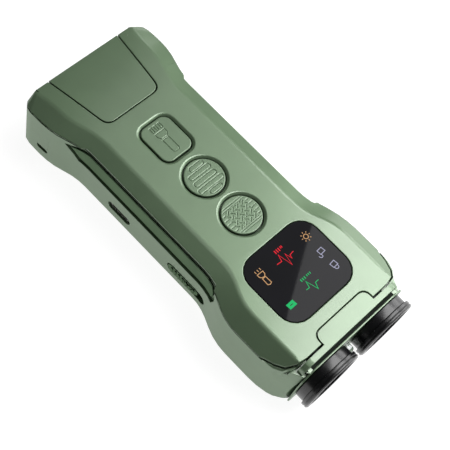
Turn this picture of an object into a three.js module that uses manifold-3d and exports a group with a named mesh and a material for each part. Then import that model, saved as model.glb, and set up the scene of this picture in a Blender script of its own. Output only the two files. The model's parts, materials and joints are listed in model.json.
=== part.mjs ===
// Tactical flashlight with twin lamp heads, a lit display, three push buttons and a slide switch.
// Millimetres. x runs from the tail to the lamps, y is across, z is up from the flat back.
import * as THREE from 'three';
import { mergeVertices } from 'three/addons/utils/BufferGeometryUtils.js';
import Module from 'manifold-3d';

const wasm = await Module();
wasm.setup();

// Housing
const HEIGHT = 25.3;
const WALL = 1.8;
const TAIL_X = -64.7;
const COVER_FRONT_X = 54.9;
const CORNER_FRONT_X = 55.2;
const NECK_BACK_X = 50.5;
const NECK_FRONT_X = 58.5;
const BACK_BEVEL = 2.2;
const WAIST_RIM_DEPTH = 2.4;
const HEAD_RIM_DEPTH = 4.3;
const SEAM_BELOW_RIM = 0.3;
const SEAM_GAP = 0.5;
const TAIL_DROP = 1.2;
const TAIL_SLOPE_START_X = -34;
const BEND_STEPS = 3;
const ROUND_SEGMENTS = 24;
const FINE_SEGMENTS = 36;
const WIDE = 40; // beyond the housing in y, for cutting blocks
const NOSE_BEND = { startX: 36, x: 43, spread: 3.2 };
const CORNER_WALL = { backX: 44, footZ: 17, innerY: 19.8 };
const GASKET_FRONT_X = 43.5;
const LIP_BEND_STEPS = 7;

// Plan outlines of the +y half, tail to front: [x, y, setback]. A bend of that setback rounds each corner.
const TOP_EDGE = [
  [TAIL_X, 20.9, 1.5], [-59, 19.4, 4], [-49.4, 19.3, 4], [-39.6, 15.9, 5],
  [20, 15.9, 4], [31, 21, 4], [50.5, 21, 5.5], [NECK_FRONT_X, 21, 3],
];
const SIDE_WALL = [
  [TAIL_X, 25.3, 4], [-58, 25.5, 2], [-50.3, 25.4, 5], [-41.2, 22, 4.5],
  [18.3, 22, 4], [29.8, 27.1, 5], [50.5, 27.1, 5.5], [NECK_FRONT_X, 23.9, 3],
];

// Tail hatch
const HATCH_FRONT_X = -40.3;
const HATCH_FRONT_Y = 11.3;
const HATCH_TAIL_Y = 14.9;
const HATCH_CORNER = 3.2;
const HATCH_GAP = 0.3;
const HATCH_SILL_Z = 2.6;
const LATCH_HALF_WIDTH = 5;

// Controls and display along the centre line
const SQUARE_BUTTON_X = -25.5;
const STRIPE_BUTTON_X = -7.8;
const WEAVE_BUTTON_X = 9;
const RECESS_RADIUS = 7.85;
const HOLE_RADIUS = 7.05;
const CAP_RADIUS = 6.7;
const CAP_TOP_Z = 25.1;
const CAP_FLANGE_RADIUS = 7.7;
const SQUARE_HALF = { x: 8.35, y: 7.2, corner: 4.2 };
const RECESS_DEPTH = 0.7;
const DISPLAY_X = 33.75;
const DISPLAY_HALF = { x: 12.7, y: 14.9, corner: 6.4 };
const WINDOW_THICKNESS = 1.1;
const LEDGE_Z = 24;

// Side openings on the -y wall
const PORT_X = -20.9;
const PORT_Z = 7.4;
const SWITCH_X = 10.65;
const SWITCH_Z = 7.1;
const SWITCH_SLOT = { halfLength: 8.75, halfHeight: 2.1 };
const KNOB = { halfLength: 6.8, halfHeight: 1.75 };
const KNOB_X = 9.1;
const LANYARD_X = -54.5;
const LANYARD_Z = 7;

// Side trim and the recess round it, as outlines in x and z
const TRIM_RECESS = [
  [-46.1, 19.9], [-40.7, 14.4], [21.6, 14], [22.7, 17.5],
  [22.2, 20.6], [20.6, 23], [18.2, 24.4], [-36.4, 24.4],
];
const TRIM_PLATE = [
  [-44.2, 19.3], [-39.8, 15.9], [20.6, 15.8], [21.2, 17.5],
  [20.8, 19.6], [19.5, 21.2], [17, 21.8], [-37.2, 21.8],
];
const TRIM_RECESS_DEPTH = 1;

// Lamps
const LAMP_Y = 12.7;
const LAMP_Z = 13.6;
const SLEEVE_RADIUS = 8.9;
const BORE_RADIUS = 9.1;
const COLLAR_RADIUS = 10.45;
const BEZEL_RADIUS = 11.25;
const BEZEL_FRONT_X = 64.7;
const CENTRE_BORE_RADIUS = 2;
const CENTRE_Z = 11;

// Front bezel
const RIDGE_BACK_X = 55.5;
const RIDGE_FRONT_X = 57.5;
const LIP_BACK_X = 58.6;
const LIP_FRONT_X = 59.1;
const LIP_OUTLINE = [[2, 24.1, 4.5], [23.7, 24.1, 8.5]]; // [z, y, setback], from the back upward
const RIDGE_END = { y: 17.6, spread: 4.2 };
const GROOVE_Z = 23;
const NECK_TOP = 21.4;
const TAB = { backX: 51.3, halfWidth: 11.3, corner: 3, thickness: 0.9 };

// Inside
const CELL_RADIUS = 9.2;
const CELL_Z = 11.4;
const CELL_BACK_X = -57.5;
const CELL_FRONT_X = 7.5;
const BOARD_Z = 21;
const BOARD_THICKNESS = 0.8;
const SCREW_SPOTS = [[-47, -17.2], [-47, 17.2], [37.5, -21.3], [37.5, 21.3]];
const SCREW_SEAT_Z = 2.5;
const POST_BOTTOM_Z = 9.3;

function finish(color, roughness, metalness = 0) {
  return new THREE.MeshStandardMaterial({ color, roughness, metalness });
}

const GREEN = finish(0x7f9c78, 0.35, 0.3);
const TRIM_GREEN = finish(0x5c6f58, 0.4, 0.3);
const BLACK_GLOSS = finish(0x08080a, 0.15);
const BLACK_PLASTIC = finish(0x1a1a1c, 0.5);
const RUBBER = finish(0x141414, 0.8);
const SMOKED_GLASS = finish(0x101014, 0.08);
const CLEAR_GLASS = finish(0xdfe6ea, 0.05);
const STEEL = finish(0xb9bcc0, 0.3, 1);
const NICKEL = finish(0xcfd0cc, 0.25, 1);
const MIRROR = finish(0xe8e8ea, 0.08, 1);
const BOARD_GREEN = finish(0x1d5a34, 0.6);
const ALUMINIUM = finish(0xa8abaf, 0.4, 1);
const EMITTER = finish(0xe8d36a, 0.4);
const CELL_WRAP = finish(0x2a5d8c, 0.4);
const RED_LEAD = finish(0xa01818, 0.6);
const BLACK_LEAD = finish(0x181818, 0.6);

const model = new THREE.Group();

// Turns every face outward, so that a mesh drawn inside out still counts as a solid.
function facesOut(geometry) {
  const at = geometry.attributes.position;
  const index = geometry.index;
  const corner = (i) => new THREE.Vector3().fromBufferAttribute(at, index.getX(i));
  let volume = 0;
  for (let i = 0; i < index.count; i += 3) {
    volume += corner(i).dot(corner(i + 1).cross(corner(i + 2)));
  }
  if (volume < 0) {
    for (let i = 0; i < index.count; i += 3) {
      const kept = index.getX(i);
      index.setX(i, index.getX(i + 1));
      index.setX(i + 1, kept);
    }
  }
  return geometry;
}

function solid(geometry) {
  const bare = new THREE.BufferGeometry();
  bare.setAttribute('position', geometry.attributes.position);
  if (geometry.index) bare.setIndex(geometry.index);
  const merged = facesOut(mergeVertices(bare, 1e-4));
  return new wasm.Manifold(new wasm.Mesh({
    numProp: 3,
    vertProperties: new Float32Array(merged.attributes.position.array),
    triVerts: new Uint32Array(merged.index.array),
  }));
}

function geometryOf(shape) {
  const mesh = shape.getMesh();
  const geometry = new THREE.BufferGeometry();
  geometry.setAttribute('position', new THREE.BufferAttribute(new Float32Array(mesh.vertProperties), 3));
  geometry.setIndex(new THREE.BufferAttribute(new Uint32Array(mesh.triVerts), 1));
  geometry.computeVertexNormals();
  return geometry;
}

function add(name, shape, material, parent = model) {
  const mesh = new THREE.Mesh(geometryOf(shape), material);
  mesh.name = name;
  parent.add(mesh);
  return mesh;
}

function join(shapes) {
  return shapes.reduce((whole, shape) => whole.add(shape));
}

function block(x, y, z) {
  const box = new THREE.BoxGeometry(x[1] - x[0], y[1] - y[0], z[1] - z[0]);
  return solid(box.translate((x[0] + x[1]) / 2, (y[0] + y[1]) / 2, (z[0] + z[1]) / 2));
}

function extrude(points, length) {
  const shape = new THREE.Shape(points.map(([a, b]) => new THREE.Vector2(a, b)));
  return new THREE.ExtrudeGeometry(shape, { depth: length, bevelEnabled: false });
}

function prismAlongX(pointsYZ, x0, x1) {
  const turn = new THREE.Matrix4().makeBasis(
    new THREE.Vector3(0, 1, 0),
    new THREE.Vector3(0, 0, 1),
    new THREE.Vector3(1, 0, 0),
  );
  return solid(extrude(pointsYZ, x1 - x0).applyMatrix4(turn).translate(x0, 0, 0));
}

function prismAlongY(pointsXZ, y0, y1) {
  return solid(extrude(pointsXZ, y1 - y0).rotateX(Math.PI / 2).translate(0, y1, 0));
}

function prismAlongZ(pointsXY, z0, z1) {
  return solid(extrude(pointsXY, z1 - z0).translate(0, 0, z0));
}

// A solid of revolution from [radius, height] pairs. The profile closes on the axis or on itself.
function turned(profile, axis, segments = ROUND_SEGMENTS) {
  const onAxis = profile[0][0] === 0 && profile[profile.length - 1][0] === 0;
  const closed = onAxis ? profile : [...profile, profile[0]];
  const lathe = new THREE.LatheGeometry(closed.map(([r, h]) => new THREE.Vector2(r, h)), segments);
  if (axis === 'x') lathe.rotateZ(-Math.PI / 2);
  if (axis === 'z') lathe.rotateX(Math.PI / 2);
  return solid(lathe);
}

function rod(axis, radius, from, to, segments = ROUND_SEGMENTS) {
  return turned([[0, from], [radius, from], [radius, to], [0, to]], axis, segments);
}

function tube(points, radius) {
  const path = new THREE.CatmullRomCurve3(points.map((p) => new THREE.Vector3(...p)));
  const section = new THREE.Shape().absarc(0, 0, radius, 0, 2 * Math.PI);
  const options = { steps: 16, curveSegments: 3, extrudePath: path, bevelEnabled: false };
  return solid(new THREE.ExtrudeGeometry(section, options));
}

// Rounds each corner [x, y, setback] of a half outline with a curve between points the setback away from it.
function bend(corners, steps = BEND_STEPS) {
  return corners.flatMap(([x, y, setback], i) => {
    const toward = ([px, py]) => new THREE.Vector2(px - x, py - y).setLength(setback).add({ x, y });
    const before = toward(corners[i - 1] ?? [x, 0]);
    const after = toward(corners[i + 1] ?? [x, 0]);
    return new THREE.QuadraticBezierCurve(before, new THREE.Vector2(x, y), after).getPoints(steps);
  });
}

// Moves the points of a half outline inward, square to the outline.
function inset(points, distance) {
  return points.map((point, i) => {
    const before = points[i - 1] ?? new THREE.Vector2(point.x, -point.y);
    const after = points[i + 1] ?? new THREE.Vector2(point.x, -point.y);
    const along = after.clone().sub(before).normalize();
    return new THREE.Vector2(point.x + along.y * distance, point.y - along.x * distance);
  });
}

// Both halves of an outline as one closed ring, at the height that zOf gives for each x.
function ring(halfOutline, zOf) {
  const right = halfOutline.map((p) => new THREE.Vector3(p.x, -p.y, zOf(p.x)));
  const left = halfOutline.map((p) => new THREE.Vector3(p.x, p.y, zOf(p.x))).reverse();
  return [...right, ...left];
}

// Joins rings of equal length with a skin, and closes both ends with a ladder of faces from side to side.
function loft(rings) {
  const count = rings[0].length;
  const position = rings.flat().flatMap((p) => [p.x, p.y, p.z]);
  const index = [];
  for (let level = 0; level < rings.length - 1; level += 1) {
    for (let i = 0; i < count; i += 1) {
      const a = level * count + i;
      const b = level * count + ((i + 1) % count);
      index.push(a, b, b + count, a, b + count, a + count);
    }
  }
  const top = (rings.length - 1) * count;
  for (let i = 0; i < count / 2 - 1; i += 1) {
    const [a, b, c, d] = [i, i + 1, count - 2 - i, count - 1 - i];
    index.push(a, c, b, a, d, c);
    index.push(top + a, top + b, top + c, top + a, top + c, top + d);
  }
  const geometry = new THREE.BufferGeometry();
  geometry.setAttribute('position', new THREE.Float32BufferAttribute(position, 3));
  geometry.setIndex(index);
  return solid(geometry);
}

// A rounded rectangle about the origin, as [a, b] pairs.
function roundedOutline(halfA, halfB, corner, steps = 5) {
  const points = [];
  for (let quarter = 0; quarter < 4; quarter += 1) {
    const sideA = quarter === 0 || quarter === 3 ? 1 : -1;
    const sideB = quarter < 2 ? 1 : -1;
    for (let i = 0; i <= steps; i += 1) {
      const angle = (quarter + i / steps) * Math.PI / 2;
      points.push([
        sideA * (halfA - corner) + corner * Math.cos(angle),
        sideB * (halfB - corner) + corner * Math.sin(angle),
      ]);
    }
  }
  return points;
}

function shifted(points, da, db) {
  return points.map(([a, b]) => [a + da, b + db]);
}

function roundedPlate(size, x, z0, z1, grow = 0) {
  const outline = roundedOutline(size.x + grow, size.y + grow, size.corner + grow);
  return prismAlongZ(shifted(outline, x, 0), z0, z1);
}

// A rounded pocket that narrows from its mouth to its floor.
function taperedPocket(mouth, floor, x) {
  const at = (size, z) => roundedOutline(size.x, size.y, size.corner)
    .map(([a, b]) => new THREE.Vector3(x + a, b, z));
  return loft([at(floor, floor.z), at(mouth, mouth.z)]);
}

function stadium(halfLength, halfHeight, x, z) {
  return shifted(roundedOutline(halfLength, halfHeight, halfHeight - 0.001, 4), x, z);
}

// Heights along the housing
function topZ(x) {
  const down = Math.max(0, (TAIL_SLOPE_START_X - x) / (TAIL_SLOPE_START_X - TAIL_X));
  return HEIGHT - TAIL_DROP * down * down;
}

function rimZ(x) {
  const towardHead = THREE.MathUtils.smoothstep(x, 17, 32);
  return topZ(x) - THREE.MathUtils.lerp(WAIST_RIM_DEPTH, HEAD_RIM_DEPTH, towardHead);
}

function seamZ(x) {
  return rimZ(x) - SEAM_BELOW_RIM;
}

// Everything between two heights that vary along x.
function layer(lowOf, highOf) {
  const stations = [-72, -64.7, -58, -52, -46, -40, -34, 17, 20, 23, 26, 29, 32, 70];
  const low = stations.map((x) => [x, lowOf(x)]);
  const high = stations.map((x) => [x, highOf(x)]).reverse();
  return prismAlongY([...low, ...high], -40, 40);
}

function above(lowOf) {
  return layer(lowOf, () => HEIGHT + 10);
}

function below(highOf) {
  return layer(() => -10, highOf);
}

const sideOutline = bend(SIDE_WALL);
const topOutline = bend(TOP_EDGE);

// The whole outer form, with no seams or openings.
function outerForm() {
  return loft([
    ring(inset(sideOutline, BACK_BEVEL), () => 0),
    ring(sideOutline, () => BACK_BEVEL),
    ring(sideOutline, rimZ),
    ring(topOutline, topZ),
  ]);
}

function cavityForm() {
  return loft([
    ring(inset(sideOutline, WALL + 2), () => WALL),
    ring(inset(sideOutline, WALL), () => WALL + 2),
    ring(inset(sideOutline, WALL), (x) => rimZ(x) - 0.4),
    ring(inset(topOutline, 0.6), (x) => topZ(x) - WALL),
  ]);
}

// The plan form of the side walls, moved inward, as a tall block.
function sideForm(distance) {
  const outline = inset(sideOutline, distance);
  return loft([ring(outline, () => -5), ring(outline, () => HEIGHT + 5)]);
}

// A tall plan form that rounds the front corners: full width behind, halfWidth where it meets frontX.
function noseForm(frontX, halfWidth) {
  const outline = bend([
    [TAIL_X - 10, WIDE, 1], [NOSE_BEND.startX, WIDE, 1],
    [NOSE_BEND.x, halfWidth + NOSE_BEND.spread, 3], [frontX, halfWidth, 6],
  ]);
  return loft([ring(outline, () => -5), ring(outline, () => HEIGHT + 5)]);
}

const outer = outerForm();
const cavity = cavityForm();
const coverNose = noseForm(COVER_FRONT_X, 24.2);
const cornerNose = noseForm(CORNER_FRONT_X, 25.4);

// Hatch outline in plan: the corners toward the display are rounded, and the sides spread toward the tail.
function hatchOutline(grow) {
  const front = HATCH_FRONT_X + grow;
  const tail = TAIL_X - 2;
  const slope = (HATCH_TAIL_Y - HATCH_FRONT_Y) / (HATCH_FRONT_X - TAIL_X);
  const frontY = HATCH_FRONT_Y + grow;
  const tailY = frontY + slope * (front - tail);
  const corner = new THREE.QuadraticBezierCurve(
    new THREE.Vector2(front - HATCH_CORNER, frontY + slope * HATCH_CORNER),
    new THREE.Vector2(front, frontY),
    new THREE.Vector2(front, frontY - HATCH_CORNER),
  ).getPoints(6).map((p) => [p.x, p.y]);
  const half = [[tail, tailY], ...corner];
  return [...half.map(([x, y]) => [x, -y]), ...half.reverse()];
}

function tailOpening(halfWidth, sill) {
  return block([TAIL_X - 2, TAIL_X + WALL + 0.3], [-halfWidth, halfWidth], [sill, HEIGHT + 5]);
}

function rearHatch() {
  const plate = outer.intersect(prismAlongZ(hatchOutline(-HATCH_GAP), 0, HEIGHT + 5))
    .intersect(above((x) => topZ(x) - WALL));
  const endHalf = HATCH_TAIL_Y - HATCH_GAP;
  const endWall = outer.intersect(block(
    [TAIL_X - 1, TAIL_X + WALL],
    [-endHalf, endHalf],
    [HATCH_SILL_Z + HATCH_GAP, HEIGHT],
  )).intersect(prismAlongZ(hatchOutline(-HATCH_GAP), 0, HEIGHT + 5));
  const tongueY = [-LATCH_HALF_WIDTH, LATCH_HALF_WIDTH];
  const tongue = block([HATCH_FRONT_X - 5, HATCH_FRONT_X + 3.2], tongueY, [22, 23.1]);
  const tongueRoot = block([HATCH_FRONT_X - 5, HATCH_FRONT_X - 2], tongueY, [22.5, 24]);
  return join([plate, endWall, tongue, tongueRoot]);
}

// Push buttons. Every cap is guided by its flange under the cover.
const BUTTONS = [
  { name: 'torch_button', x: SQUARE_BUTTON_X, square: true },
  { name: 'stripe_button', x: STRIPE_BUTTON_X, square: false },
  { name: 'weave_button', x: WEAVE_BUTTON_X, square: false },
];
const SQUARE_HOLE_INSET = 0.8;

function grown(size, amount) {
  return { x: size.x + amount, y: size.y + amount, corner: size.corner + amount };
}

function buttonOpening({ x, square }) {
  if (square) {
    const hole = grown(SQUARE_HALF, -SQUARE_HOLE_INSET);
    const mouth = { ...grown(SQUARE_HALF, 0.3), z: HEIGHT + 0.25 };
    const floor = { ...hole, z: HEIGHT - RECESS_DEPTH };
    return join([taperedPocket(mouth, floor, x), roundedPlate(hole, x, 20, HEIGHT - RECESS_DEPTH + 0.1)]);
  }
  const flare = RECESS_RADIUS + 0.3;
  const floor = HEIGHT - RECESS_DEPTH;
  const mouth = HEIGHT + 0.26;
  return turned([
    [0, 20], [HOLE_RADIUS, 20], [HOLE_RADIUS, floor], [flare, mouth], [0, mouth],
  ], 'z', FINE_SEGMENTS).translate([x, 0, 0]);
}

function roundCap() {
  const rim = 0.35;
  return turned([
    [0, 23.5], [5.8, 23.5], [5.8, 22.6], [CAP_FLANGE_RADIUS, 22.6], [CAP_FLANGE_RADIUS, 23.1],
    [CAP_RADIUS, 23.1], [CAP_RADIUS, CAP_TOP_Z - rim], [CAP_RADIUS - rim, CAP_TOP_Z], [0, CAP_TOP_Z],
  ], 'z', FINE_SEGMENTS);
}

function squareCap() {
  const cap = grown(SQUARE_HALF, -SQUARE_HOLE_INSET - 0.35);
  const rim = 0.35;
  const body = roundedPlate(cap, 0, 22.6, CAP_TOP_Z - rim);
  const crown = taperedPocket(
    { ...grown(cap, -rim), z: CAP_TOP_Z },
    { ...cap, z: CAP_TOP_Z - rim - 0.001 },
    0,
  );
  const flange = roundedPlate(grown(cap, 1), 0, 22.6, 23.1);
  const hollow = roundedPlate(grown(cap, -1), 0, 20, 23.5);
  return join([body, crown, flange]).subtract(hollow);
}

function buttonSeal(square) {
  if (!square) return turned([[7.15, 23.15], [7.95, 23.15], [7.95, 23.45], [7.15, 23.45]], 'z');
  const opening = grown(SQUARE_HALF, -SQUARE_HOLE_INSET);
  return roundedPlate(grown(opening, 0.9), 0, 23.15, 23.45)
    .subtract(roundedPlate(grown(opening, 0.1), 0, 23, 23.6));
}

function keySwitch() {
  const body = block([-3, 3], [-3, 3], [21.85, 22.8]);
  return body.subtract(rod('z', 1.3, 22, 23, 16));
}

function addButtons() {
  BUTTONS.forEach(({ name, x, square }) => {
    const group = new THREE.Group();
    group.position.set(x, 0, 0);
    model.add(group);
    add(`${name}_cap`, square ? squareCap() : roundCap(), GREEN, group);
    add(`${name}_seal`, buttonSeal(square), RUBBER, group);
    add(`${name}_switch`, keySwitch(), BLACK_PLASTIC, group);
    add(`${name}_plunger`, rod('z', 1.1, 22.65, 23.35, 16), NICKEL, group);
  });
}

// Cover: outer skin above the seam, with its openings, screw posts and board posts.
function tabOpening(grow) {
  const corner = (side) => new THREE.QuadraticBezierCurve(
    new THREE.Vector2(TAB.backX - grow + TAB.corner, side * (TAB.halfWidth + grow)),
    new THREE.Vector2(TAB.backX - grow, side * (TAB.halfWidth + grow)),
    new THREE.Vector2(TAB.backX - grow, side * (TAB.halfWidth + grow - TAB.corner)),
  ).getPoints(5).map((p) => [p.x, p.y]);
  return [
    ...corner(1), ...corner(-1).reverse(),
    [RIDGE_BACK_X + 0.2, -(TAB.halfWidth + grow)], [RIDGE_BACK_X + 0.2, TAB.halfWidth + grow],
  ];
}

function screwPost([x, y]) {
  return rod('z', 2.6, POST_BOTTOM_Z, HEIGHT - 1, 20)
    .subtract(rod('z', 1.4, 0, 20, 12))
    .translate([x, y, 0]);
}

function upperShell() {
  const skin = outer.subtract(cavity);
  const posts = SCREW_SPOTS.map((spot) => screwPost(spot).intersect(outer));
  const boardPosts = [-33.5, 15].flatMap((x) => [-11.5, 11.5].map(
    (y) => rod('z', 1.5, BOARD_Z + BOARD_THICKNESS + 0.05, HEIGHT - 1, 10).translate([x, y, 0]),
  ));
  const displayFrame = roundedPlate(DISPLAY_HALF, DISPLAY_X, 22.7, HEIGHT - 1, 1.2);
  const body = join([skin, displayFrame])
    .intersect(above(seamZ))
    .intersect(coverNose);
  return join([body, ...posts, ...boardPosts])
    .subtract(prismAlongZ(hatchOutline(0), 15, HEIGHT + 5))
    .subtract(join(BUTTONS.map(buttonOpening)))
    .subtract(roundedPlate(DISPLAY_HALF, DISPLAY_X, LEDGE_Z, HEIGHT + 1, 0.25))
    .subtract(roundedPlate(DISPLAY_HALF, DISPLAY_X, 20, HEIGHT, -2))
    .subtract(prismAlongZ(tabOpening(0.35), HEIGHT - TAB.thickness - 0.3, HEIGHT + 1))
    .subtract(bothSides(trimRecess()));
}

// The form that the tub narrows to behind the lip. Half sections in [y, z] from the back upward:
// a flat side, then a long bend over the shoulder that starts lower toward the lip.
const SHOULDER = [
  { x: 49.5, foot: [[27.3, -1], [27.3, 14.2]], control: [27, 23], end: [24, 27] },
  { x: NECK_FRONT_X, foot: [[21.8, 2.6], [23.7, 4.8]], control: [23.6, 17], end: [21.6, NECK_TOP] },
];

function shoulderRing({ x, foot, control, end }) {
  const over = new THREE.QuadraticBezierCurve(
    new THREE.Vector2(...foot[1]),
    new THREE.Vector2(...control),
    new THREE.Vector2(...end),
  ).getPoints(6).map((p) => [p.x, p.y]);
  const half = [foot[0], ...over];
  const right = half.map(([y, z]) => new THREE.Vector3(x, -y, z));
  const left = half.map(([y, z]) => new THREE.Vector3(x, y, z)).reverse();
  return [...right, ...left];
}

function shoulders() {
  const back = SHOULDER[0].x;
  return loft(SHOULDER.map(shoulderRing))
    .add(block([TAIL_X - 5, back + 0.001], [-WIDE, WIDE], [-5, HEIGHT + 5]));
}

// A thin wall that rises from the tub round each front corner of the cover, flush with the cover's rim.
function cornerWalls() {
  const inside = noseForm(CORNER_FRONT_X + 0.1, 24.6);
  const { backX, footZ, innerY } = CORNER_WALL;
  const sides = bothSides(block([backX, NECK_FRONT_X], [innerY, WIDE], [footZ, HEIGHT]));
  return outer.intersect(cornerNose).subtract(inside).intersect(sides);
}

function lampBores(radius) {
  const bores = [-LAMP_Y, LAMP_Y].map((y) => rod('x', radius, 40, 70).translate([0, y, LAMP_Z]));
  return join([...bores, rod('x', CENTRE_BORE_RADIUS, 40, 70, 12).translate([0, 0, CENTRE_Z])]);
}

function screwBoss([x, y]) {
  return rod('z', 4.2, 0.5, POST_BOTTOM_Z - 0.3, 12).translate([x, y, 0]);
}

function screwHole([x, y]) {
  return turned([[0, -1], [3, -1], [3, SCREW_SEAT_Z], [1.6, SCREW_SEAT_Z], [1.6, 12], [0, 12]], 'z', 16)
    .translate([x, y, 0]);
}

function trimRecess() {
  return prismAlongY(TRIM_RECESS, 15, 40).subtract(sideForm(TRIM_RECESS_DEPTH));
}

function bothSides(shape) {
  return join([shape, shape.mirror([0, 1, 0])]);
}

function sideTrim() {
  return prismAlongY(TRIM_PLATE, 15, 40)
    .intersect(sideForm(0.3))
    .subtract(sideForm(TRIM_RECESS_DEPTH - 0.2));
}

function lanyardPost() {
  return block([TAIL_X + 1, LANYARD_X + 4], [-24.6, -18.2], [LANYARD_Z - 3, LANYARD_Z + 3]);
}

function lanyardChannel() {
  const height = [LANYARD_Z - 0.95, LANYARD_Z + 0.95];
  const fromSide = prismAlongY(stadium(2.4, 0.95, LANYARD_X, LANYARD_Z), -28, -19.6);
  const fromTail = block([TAIL_X - 2, LANYARD_X], [-21.5, -19.6], height);
  return join([fromSide, fromTail]);
}

function switchSlot() {
  return prismAlongY(stadium(SWITCH_SLOT.halfLength, SWITCH_SLOT.halfHeight, SWITCH_X, SWITCH_Z), -30, -18);
}

function lowerShell() {
  const noseStep = block([CORNER_FRONT_X, NECK_FRONT_X + 1], [-WIDE, WIDE], [NECK_TOP, HEIGHT]);
  const nose = block([CORNER_FRONT_X - 1, NECK_FRONT_X], [-WIDE, WIDE], [15, NECK_TOP]).intersect(outer);
  const body = outer
    .intersect(below((x) => seamZ(x) - SEAM_GAP))
    .add(nose)
    .intersect(shoulders())
    .intersect(block([TAIL_X - 5, NECK_FRONT_X], [-WIDE, WIDE], [-1, HEIGHT]))
    .subtract(noseStep)
    .subtract(cavity.intersect(block([TAIL_X, NECK_BACK_X], [-WIDE, WIDE], [-1, HEIGHT])));
  const bosses = SCREW_SPOTS.map((spot) => screwBoss(spot).intersect(outer));
  return join([body, cornerWalls(), ...bosses, lanyardPost().intersect(outer)])
    .subtract(bothSides(trimRecess()))
    .subtract(join(SCREW_SPOTS.map(screwHole)))
    .subtract(lampBores(BORE_RADIUS))
    .subtract(tailOpening(HATCH_TAIL_Y, HATCH_SILL_Z))
    .subtract(prismAlongY(stadium(5.1, 1.75, PORT_X, PORT_Z), -30, -18))
    .subtract(switchSlot())
    .subtract(lanyardChannel());
}

// One side of the seal between cover and tub, from the hatch opening to the nose.
function sideGasket() {
  const clear = 0.1;
  const band = layer((x) => seamZ(x) - SEAM_GAP + clear, (x) => seamZ(x) - clear);
  return sideForm(0.45).subtract(sideForm(WALL - 0.3))
    .intersect(band)
    .intersect(block([TAIL_X, GASKET_FRONT_X], [-40, 0], [0, HEIGHT]))
    .subtract(tailOpening(HATCH_TAIL_Y + 0.3, 0))
    .subtract(bothSides(trimRecess()));
}

// Nose: a thin lip in front of the neck, a ridge across the top and a tab let into the cover.
function frontBezel() {
  const lipHalf = bend(LIP_OUTLINE, LIP_BEND_STEPS).map((p) => [p.y, p.x]);
  const lipOutline = [...lipHalf, ...lipHalf.map(([y, z]) => [-y, z]).reverse()];
  const lip = prismAlongX(lipOutline, LIP_BACK_X, LIP_FRONT_X);
  const floor = NECK_TOP + 0.3;
  const ridgeHalf = [0, 1, 2, 3, 4, 5, 6].map((i) => {
    const angle = i / 6 * Math.PI / 2;
    return [RIDGE_END.y + RIDGE_END.spread * Math.cos(angle), floor + (HEIGHT - floor) * Math.sin(angle)];
  });
  const ridgeOutline = [...ridgeHalf, ...ridgeHalf.map(([y, z]) => [-y, z]).reverse()];
  const ridge = prismAlongX(ridgeOutline, RIDGE_BACK_X, RIDGE_FRONT_X);
  const step = block([RIDGE_FRONT_X - 0.2, LIP_BACK_X + 0.2], [-20, 20], [floor, GROOVE_Z]);
  const tab = prismAlongZ(tabOpening(0), HEIGHT - TAB.thickness, HEIGHT);
  return join([lip, ridge, step, tab]).subtract(lampBores(BORE_RADIUS));
}

function caseScrew() {
  const head = turned([
    [0, 0.8], [1.1, 0.8], [1.1, 0.4], [2.3, 0.4], [2.7, 0.8],
    [2.7, SCREW_SEAT_Z - 0.1], [0, SCREW_SEAT_Z - 0.1],
  ], 'z', 20);
  return join([head, rod('z', 1.2, SCREW_SEAT_Z - 0.2, 18, 12)]);
}

function addHousing() {
  add('upper_shell', upperShell(), GREEN);
  add('lower_shell', lowerShell(), GREEN);
  add('front_bezel', frontBezel(), GREEN);
  add('rear_hatch', rearHatch(), GREEN);
  add('side_trim_left', sideTrim(), TRIM_GREEN);
  add('side_trim_right', sideTrim().mirror([0, 1, 0]), TRIM_GREEN);
  add('gasket_right', sideGasket(), RUBBER);
  add('gasket_left', sideGasket().mirror([0, 1, 0]), RUBBER);
  SCREW_SPOTS.forEach(([x, y], i) => {
    add(`case_screw_${i + 1}`, caseScrew(), STEEL).position.set(x, y, 0);
  });
}

// Slide switch: a ribbed knob in the wall slot, with a shield flange behind the wall.
function switchKnob() {
  const outline = stadium(KNOB.halfLength, KNOB.halfHeight, KNOB_X, SWITCH_Z);
  const ribs = [-3, -2, -1, 0, 1, 2, 3].map((i) => block(
    [KNOB_X + i * 1.6 - 0.35, KNOB_X + i * 1.6 + 0.35],
    [-22.5, -22],
    [SWITCH_Z - 1.2, SWITCH_Z + 1.2],
  ));
  const thumb = prismAlongY(outline, -22.1, -19.8);
  const flange = block([KNOB_X - 8.2, KNOB_X + 8.2], [-19.9, -19.3], [SWITCH_Z - 2.9, SWITCH_Z + 2.9]);
  return join([thumb, flange, ...ribs]);
}

function slideSwitchBody() {
  return block([4, 16], [-17.6, -13.6], [5.8, 9]).subtract(block([5.5, 14.5], [-18, -16.2], [6.5, 7.3]));
}

function addSideControls() {
  add('switch_knob', switchKnob(), TRIM_GREEN);
  add('slide_switch_body', slideSwitchBody(), STEEL);
  add('slide_switch_lever', block([7.9, 9.5], [-19.2, -16.5], [6.6, 7.2]), BLACK_PLASTIC);
  const shell = prismAlongY(stadium(4.47, 1.6, PORT_X, PORT_Z), -21.2, -14);
  const mouth = prismAlongY(stadium(4.15, 1.28, PORT_X, PORT_Z), -22, -14.3);
  add('charge_socket', shell.subtract(mouth), NICKEL);
  const tongue = block([PORT_X - 3.35, PORT_X + 3.35], [-20.4, -14.6], [PORT_Z - 0.35, PORT_Z + 0.35]);
  add('charge_socket_tongue', tongue, BLACK_PLASTIC);
  add('side_board', block([-30, 20], [-19, -12.6], [4.7, 5.5]), BOARD_GREEN);
}

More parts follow.
